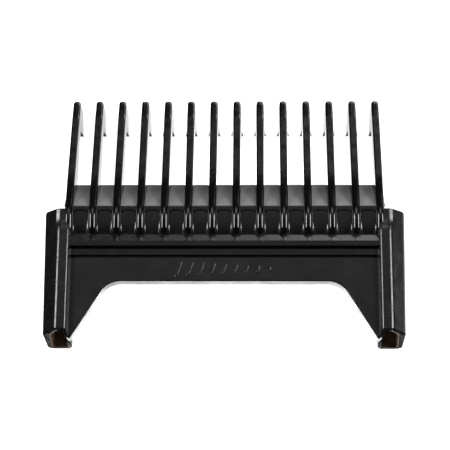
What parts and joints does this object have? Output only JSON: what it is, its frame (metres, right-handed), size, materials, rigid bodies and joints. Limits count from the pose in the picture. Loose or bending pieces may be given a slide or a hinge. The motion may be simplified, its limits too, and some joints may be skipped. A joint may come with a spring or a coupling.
{
  "type": "clipper guard comb",
  "caption": "Clip-on guard comb for a hair clipper: sloped teeth with barbed tips on a ribbed plate, with two hollow legs whose sprung walls clip over the blade.",
  "frame": {"origin": "middle of the comb's box on the plane it lies on, which touches the rear lips of the side walls", "axes": "+X across the comb to the right seen from the front, +Y towards the tooth tips, +Z out of the front face"},
  "size_m": [0.0546, 0.0394, 0.0092],
  "materials": {
    "gloss_black": "polished moulded face with soft bright reflections",
    "matte_black": "fine spark-eroded mould texture",
    "satin_black": "satin moulded face",
    "matte_grey": "dull, slightly greyed moulded face"
  },
  "bodies": {
    "comb": {"cross_bar": "gloss_black", "front_plate": "matte_black", "left_end_wall": "satin_black", "left_flank": "satin_black", "left_gusset": "matte_black", "left_rib": "gloss_black", "left_shoulder": "gloss_black", "left_side_wall": "gloss_black", "right_end_wall": "satin_black", "right_flank": "satin_black", "right_gusset": "matte_black", "right_rib": "gloss_black", "right_shoulder": "gloss_black", "right_side_wall": "gloss_black", "root_panel": "gloss_black", "spine_bar": "matte_grey", "tooth_01": "satin_black", "tooth_02": "satin_black", "tooth_03": "satin_black", "tooth_04": "satin_black", "tooth_05": "satin_black", "tooth_06": "satin_black", "tooth_07": "satin_black", "tooth_08": "satin_black", "tooth_09": "satin_black", "tooth_10": "satin_black", "tooth_11": "satin_black", "tooth_12": "satin_black", "tooth_13": "satin_black", "tooth_14": "satin_black"},
    "left_latch": {"left_snap_wall": "satin_black"},
    "right_latch": {"right_snap_wall": "satin_black"}
  },
  "joints": [
    {"name": "left_snap", "type": "hinge", "parent": "comb", "child": "left_latch", "pos_m": [-0.0233, -0.00965, 0.0055], "axis": [0, 1, 0], "range_deg": [0, 6], "stiffness_Nm_per_rad": 0.3},
    {"name": "right_snap", "type": "hinge", "parent": "comb", "child": "right_latch", "pos_m": [0.0233, -0.00965, 0.0055], "axis": [0, -1, 0], "range_deg": [0, 6], "stiffness_Nm_per_rad": 0.3}
  ]
}
